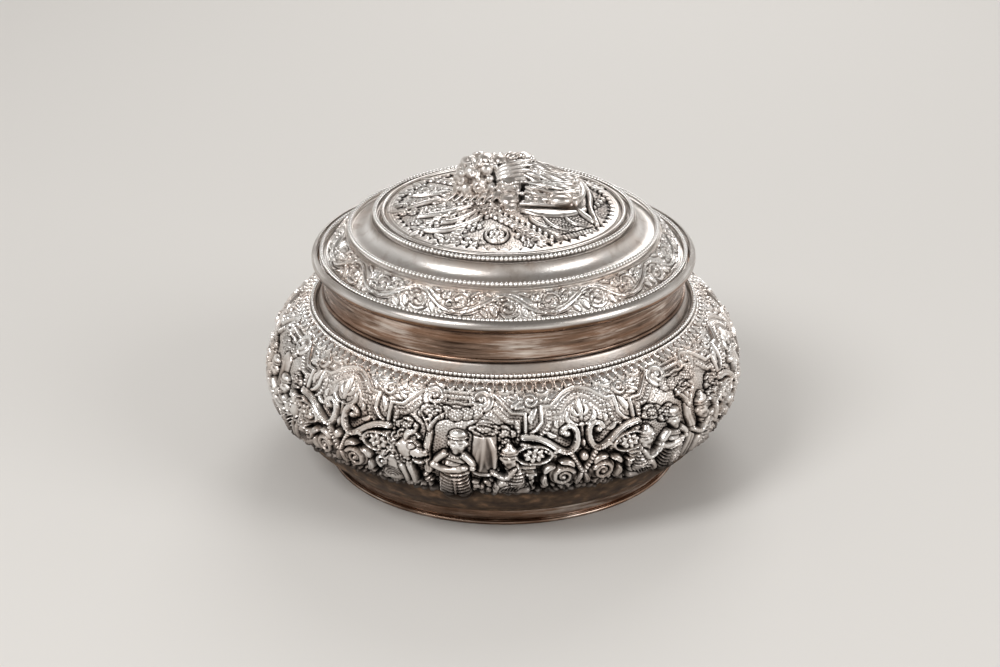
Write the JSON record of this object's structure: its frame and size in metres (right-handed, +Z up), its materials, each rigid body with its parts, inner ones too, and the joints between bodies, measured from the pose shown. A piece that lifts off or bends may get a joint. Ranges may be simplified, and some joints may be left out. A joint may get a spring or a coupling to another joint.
{
  "type": "lidded silver box",
  "caption": "Round silver box in high repousse relief on a plain foot, with a stepped lid that lifts off an upright neck and carries a medallion with a group of figures.",
  "frame": {"origin": "centre of the foot's lower edge, on the surface that the box stands on", "axes": "+Z up along the box's axis, -Y towards the front that the picture shows, +X to the right"},
  "size_m": [0.1246, 0.1246, 0.0786],
  "materials": {
    "silver_relief": "chased and stippled silver, bright on the high points and dark in the recesses",
    "silver_polished": "burnished silver with fine wiping scratches",
    "silver_tarnished": "smooth silver with a brown tarnish",
    "silver_beaded": "beaded silver wire, dark between the beads"
  },
  "bodies": {
    "box_body": {"bowl": "silver_relief", "shoulder_beading": "silver_beaded", "foot_band": "silver_tarnished", "foot_wire": "silver_tarnished", "neck_band": "silver_polished", "neck_wire": "silver_polished"},
    "box_lid": {"lid_collar": "silver_tarnished", "collar_wire": "silver_tarnished", "rim_moulding": "silver_polished", "lid_cover": "silver_relief", "band_beading": "silver_beaded", "cove_beading": "silver_beaded", "medallion_beading": "silver_beaded", "lid_medallion": "silver_relief", "medallion_wire": "silver_beaded", "lid_figures": "silver_relief"}
  },
  "joints": [
    {"name": "lid_lift", "type": "slide", "parent": "box_body", "child": "box_lid", "axis": [0, 0, 1], "range_m": [0, 0.06]}
  ]
}
